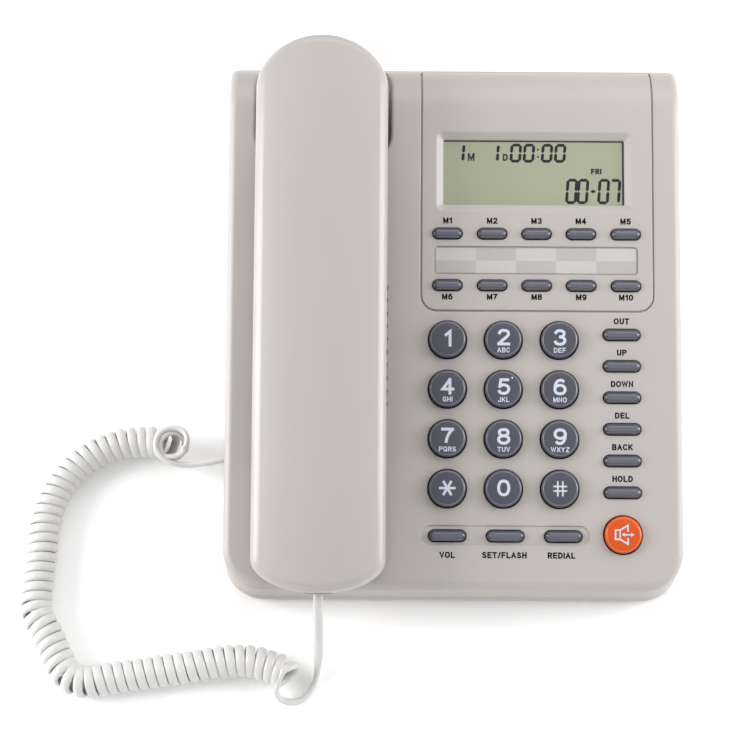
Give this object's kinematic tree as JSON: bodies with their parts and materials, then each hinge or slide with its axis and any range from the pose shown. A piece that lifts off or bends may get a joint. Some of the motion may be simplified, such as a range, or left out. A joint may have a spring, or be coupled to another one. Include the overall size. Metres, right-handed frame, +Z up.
{
  "type": "corded landline phone",
  "caption": "Desk telephone with a sloped keypad base, flush display, bar handset resting in two wells and a coiled handset cord.",
  "frame": {"origin": "on the table, bottom centre of the base and handset without the cord", "axes": "+X to the right of the keypad, +Y from the front edge towards the back, +Z up"},
  "size_m": [0.2635, 0.2564, 0.0955],
  "materials": {
    "housing": "satin",
    "handset_shell": "satin",
    "grey_keys": "satin",
    "orange_key": "satin",
    "clear_lens": "clear",
    "lcd_glass": "satin",
    "paper_card": "matt card",
    "rubber_mat": "matt",
    "circuit_board": "solder mask",
    "black_parts": "satin",
    "rubber_feet": "matt",
    "screws": "zinc plated",
    "clear_plug": "clear moulding",
    "cord_jacket": "satin vinyl",
    "microphone_can": "satin"
  },
  "bodies": {
    "base": {"base_bottom": "housing", "base_top": "housing", "display_panel": "housing", "lcd_window": "clear_lens", "lcd_module": "lcd_glass", "index_window": "clear_lens", "index_card": "paper_card", "keypad_mat": "rubber_mat", "main_board": "circuit_board", "base_speaker": "black_parts", "line_jack": "black_parts", "cord_jack": "black_parts", "hook_switch": "black_parts", "rubber_feet": "rubber_feet", "base_screws": "screws", "cord_plug_base": "clear_plug", "cord_tail_base": "cord_jacket", "cord_coil": "cord_jacket", "cord_tail_handset": "cord_jacket"},
    "handset": {"handset_cover": "handset_shell", "handset_face": "handset_shell", "receiver": "black_parts", "microphone": "microphone_can", "handset_socket": "black_parts", "handset_screws": "screws", "cord_plug_handset": "clear_plug"},
    "hook_plunger": {"hook_plunger": "handset_shell"},
    "key_1": {"key_1": "grey_keys"},
    "key_2": {"key_2": "grey_keys"},
    "key_3": {"key_3": "grey_keys"},
    "key_4": {"key_4": "grey_keys"},
    "key_5": {"key_5": "grey_keys"},
    "key_6": {"key_6": "grey_keys"},
    "key_7": {"key_7": "grey_keys"},
    "key_8": {"key_8": "grey_keys"},
    "key_9": {"key_9": "grey_keys"},
    "key_star": {"key_star": "grey_keys"},
    "key_0": {"key_0": "grey_keys"},
    "key_hash": {"key_hash": "grey_keys"},
    "key_m1": {"key_m1": "grey_keys"},
    "key_m2": {"key_m2": "grey_keys"},
    "key_m3": {"key_m3": "grey_keys"},
    "key_m4": {"key_m4": "grey_keys"},
    "key_m5": {"key_m5": "grey_keys"},
    "key_m6": {"key_m6": "grey_keys"},
    "key_m7": {"key_m7": "grey_keys"},
    "key_m8": {"key_m8": "grey_keys"},
    "key_m9": {"key_m9": "grey_keys"},
    "key_m10": {"key_m10": "grey_keys"},
    "key_hold": {"key_hold": "grey_keys"},
    "key_back": {"key_back": "grey_keys"},
    "key_delete": {"key_delete": "grey_keys"},
    "key_down": {"key_down": "grey_keys"},
    "key_up": {"key_up": "grey_keys"},
    "key_out": {"key_out": "grey_keys"},
    "key_volume": {"key_volume": "grey_keys"},
    "key_flash": {"key_flash": "grey_keys"},
    "key_redial": {"key_redial": "grey_keys"},
    "key_speaker": {"key_speaker": "orange_key"}
  },
  "joints": [
    {"name": "handset_lift", "type": "slide", "parent": "base", "child": "handset", "axis": [0, -0.2079, 0.9781], "range_m": [0, 0.06]},
    {"name": "hook_plunger_rise", "type": "slide", "parent": "base", "child": "hook_plunger", "axis": [0, -0.2079, 0.9781], "range_m": [0, 0.004]},
    {"name": "key_1_press", "type": "slide", "parent": "base", "child": "key_1", "axis": [0, 0.2079, -0.9781], "range_m": [0, 0.0012], "stiffness_N_per_m": 300, "springref_m": -0.001},
    {"name": "key_2_press", "type": "slide", "parent": "base", "child": "key_2", "axis": [0, 0.2079, -0.9781], "range_m": [0, 0.0012], "stiffness_N_per_m": 300, "springref_m": -0.001},
    {"name": "key_3_press", "type": "slide", "parent": "base", "child": "key_3", "axis": [0, 0.2079, -0.9781], "range_m": [0, 0.0012], "stiffness_N_per_m": 300, "springref_m": -0.001},
    {"name": "key_4_press", "type": "slide", "parent": "base", "child": "key_4", "axis": [0, 0.2079, -0.9781], "range_m": [0, 0.0012], "stiffness_N_per_m": 300, "springref_m": -0.001},
    {"name": "key_5_press", "type": "slide", "parent": "base", "child": "key_5", "axis": [0, 0.2079, -0.9781], "range_m": [0, 0.0012], "stiffness_N_per_m": 300, "springref_m": -0.001},
    {"name": "key_6_press", "type": "slide", "parent": "base", "child": "key_6", "axis": [0, 0.2079, -0.9781], "range_m": [0, 0.0012], "stiffness_N_per_m": 300, "springref_m": -0.001},
    {"name": "key_7_press", "type": "slide", "parent": "base", "child": "key_7", "axis": [0, 0.2079, -0.9781], "range_m": [0, 0.0012], "stiffness_N_per_m": 300, "springref_m": -0.001},
    {"name": "key_8_press", "type": "slide", "parent": "base", "child": "key_8", "axis": [0, 0.2079, -0.9781], "range_m": [0, 0.0012], "stiffness_N_per_m": 300, "springref_m": -0.001},
    {"name": "key_9_press", "type": "slide", "parent": "base", "child": "key_9", "axis": [0, 0.2079, -0.9781], "range_m": [0, 0.0012], "stiffness_N_per_m": 300, "springref_m": -0.001},
    {"name": "key_star_press", "type": "slide", "parent": "base", "child": "key_star", "axis": [0, 0.2079, -0.9781], "range_m": [0, 0.0012], "stiffness_N_per_m": 300, "springref_m": -0.001},
    {"name": "key_0_press", "type": "slide", "parent": "base", "child": "key_0", "axis": [0, 0.2079, -0.9781], "range_m": [0, 0.0012], "stiffness_N_per_m": 300, "springref_m": -0.001},
    {"name": "key_hash_press", "type": "slide", "parent": "base", "child": "key_hash", "axis": [0, 0.2079, -0.9781], "range_m": [0, 0.0012], "stiffness_N_per_m": 300, "springref_m": -0.001},
    {"name": "key_m1_press", "type": "slide", "parent": "base", "child": "key_m1", "axis": [0, 0.2079, -0.9781], "range_m": [0, 0.0012], "stiffness_N_per_m": 300, "springref_m": -0.001},
    {"name": "key_m2_press", "type": "slide", "parent": "base", "child": "key_m2", "axis": [0, 0.2079, -0.9781], "range_m": [0, 0.0012], "stiffness_N_per_m": 300, "springref_m": -0.001},
    {"name": "key_m3_press", "type": "slide", "parent": "base", "child": "key_m3", "axis": [0, 0.2079, -0.9781], "range_m": [0, 0.0012], "stiffness_N_per_m": 300, "springref_m": -0.001},
    {"name": "key_m4_press", "type": "slide", "parent": "base", "child": "key_m4", "axis": [0, 0.2079, -0.9781], "range_m": [0, 0.0012], "stiffness_N_per_m": 300, "springref_m": -0.001},
    {"name": "key_m5_press", "type": "slide", "parent": "base", "child": "key_m5", "axis": [0, 0.2079, -0.9781], "range_m": [0, 0.0012], "stiffness_N_per_m": 300, "springref_m": -0.001},
    {"name": "key_m6_press", "type": "slide", "parent": "base", "child": "key_m6", "axis": [0, 0.2079, -0.9781], "range_m": [0, 0.0012], "stiffness_N_per_m": 300, "springref_m": -0.001},
    {"name": "key_m7_press", "type": "slide", "parent": "base", "child": "key_m7", "axis": [0, 0.2079, -0.9781], "range_m": [0, 0.0012], "stiffness_N_per_m": 300, "springref_m": -0.001},
    {"name": "key_m8_press", "type": "slide", "parent": "base", "child": "key_m8", "axis": [0, 0.2079, -0.9781], "range_m": [0, 0.0012], "stiffness_N_per_m": 300, "springref_m": -0.001},
    {"name": "key_m9_press", "type": "slide", "parent": "base", "child": "key_m9", "axis": [0, 0.2079, -0.9781], "range_m": [0, 0.0012], "stiffness_N_per_m": 300, "springref_m": -0.001},
    {"name": "key_m10_press", "type": "slide", "parent": "base", "child": "key_m10", "axis": [0, 0.2079, -0.9781], "range_m": [0, 0.0012], "stiffness_N_per_m": 300, "springref_m": -0.001},
    {"name": "key_hold_press", "type": "slide", "parent": "base", "child": "key_hold", "axis": [0, 0.2079, -0.9781], "range_m": [0, 0.0012], "stiffness_N_per_m": 300, "springref_m": -0.001},
    {"name": "key_back_press", "type": "slide", "parent": "base", "child": "key_back", "axis": [0, 0.2079, -0.9781], "range_m": [0, 0.0012], "stiffness_N_per_m": 300, "springref_m": -0.001},
    {"name": "key_delete_press", "type": "slide", "parent": "base", "child": "key_delete", "axis": [0, 0.2079, -0.9781], "range_m": [0, 0.0012], "stiffness_N_per_m": 300, "springref_m": -0.001},
    {"name": "key_down_press", "type": "slide", "parent": "base", "child": "key_down", "axis": [0, 0.2079, -0.9781], "range_m": [0, 0.0012], "stiffness_N_per_m": 300, "springref_m": -0.001},
    {"name": "key_up_press", "type": "slide", "parent": "base", "child": "key_up", "axis": [0, 0.2079, -0.9781], "range_m": [0, 0.0012], "stiffness_N_per_m": 300, "springref_m": -0.001},
    {"name": "key_out_press", "type": "slide", "parent": "base", "child": "key_out", "axis": [0, 0.2079, -0.9781], "range_m": [0, 0.0012], "stiffness_N_per_m": 300, "springref_m": -0.001},
    {"name": "key_volume_press", "type": "slide", "parent": "base", "child": "key_volume", "axis": [0, 0.2079, -0.9781], "range_m": [0, 0.0012], "stiffness_N_per_m": 300, "springref_m": -0.001},
    {"name": "key_flash_press", "type": "slide", "parent": "base", "child": "key_flash", "axis": [0, 0.2079, -0.9781], "range_m": [0, 0.0012], "stiffness_N_per_m": 300, "springref_m": -0.001},
    {"name": "key_redial_press", "type": "slide", "parent": "base", "child": "key_redial", "axis": [0, 0.2079, -0.9781], "range_m": [0, 0.0012], "stiffness_N_per_m": 300, "springref_m": -0.001},
    {"name": "key_speaker_press", "type": "slide", "parent": "base", "child": "key_speaker", "axis": [0, 0.2079, -0.9781], "range_m": [0, 0.0012], "stiffness_N_per_m": 300, "springref_m": -0.001}
  ],
  "couplings": [
    {"joint": "hook_plunger_rise", "follows": "handset_lift", "ratio": 0.0666}
  ]
}
